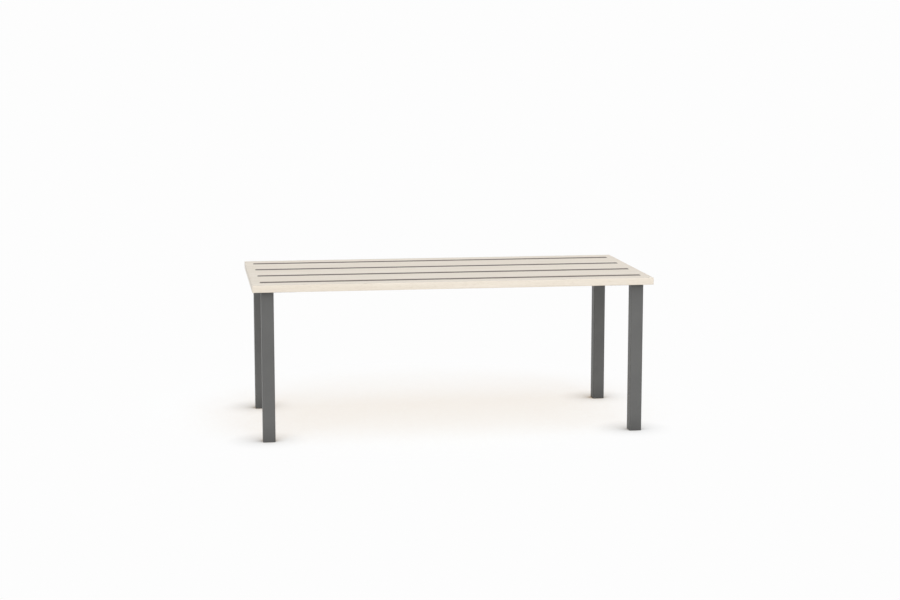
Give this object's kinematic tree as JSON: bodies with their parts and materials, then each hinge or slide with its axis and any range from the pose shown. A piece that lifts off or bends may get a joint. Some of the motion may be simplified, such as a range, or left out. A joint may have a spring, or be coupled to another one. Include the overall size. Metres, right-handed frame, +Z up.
{
  "type": "luggage bench",
  "caption": "Low free-standing luggage bench: flat laminated top with inlaid steel strips on straight square tube legs, screwed on by corner plates.",
  "frame": {"origin": "on the floor, under the middle of the top", "axes": "+X along the bench's length, +Y from the front to the back, +Z up"},
  "size_m": [1.145, 0.55, 0.45],
  "materials": {
    "laminate": "satin maple-look laminate",
    "edge_band": "satin maple-look edge band",
    "backing": "matt backing laminate",
    "core": "raw board",
    "strip": "dark grey powder coat, satin",
    "leg_paint": "dark grey powder coat, fine texture",
    "glide": "moulded, dark grey",
    "screw": "zinc plated"
  },
  "bodies": {
    "root": {"panel_core": "core", "top_laminate": "laminate", "backing_laminate": "backing", "edge_band_front": "edge_band", "edge_band_back": "edge_band", "edge_band_left": "edge_band", "edge_band_right": "edge_band", "luggage_strip_1": "strip", "luggage_strip_2": "strip", "luggage_strip_3": "strip", "luggage_strip_4": "strip", "leg_tube_front_left": "leg_paint", "leg_plate_front_left": "leg_paint", "leg_weld_front_left": "leg_paint", "leg_glide_front_left": "glide", "leg_screws_front_left": "screw", "leg_tube_front_right": "leg_paint", "leg_plate_front_right": "leg_paint", "leg_weld_front_right": "leg_paint", "leg_glide_front_right": "glide", "leg_screws_front_right": "screw", "leg_tube_back_right": "leg_paint", "leg_plate_back_right": "leg_paint", "leg_weld_back_right": "leg_paint", "leg_glide_back_right": "glide", "leg_screws_back_right": "screw", "leg_tube_back_left": "leg_paint", "leg_plate_back_left": "leg_paint", "leg_weld_back_left": "leg_paint", "leg_glide_back_left": "glide", "leg_screws_back_left": "screw"}
  },
  "joints": []
}
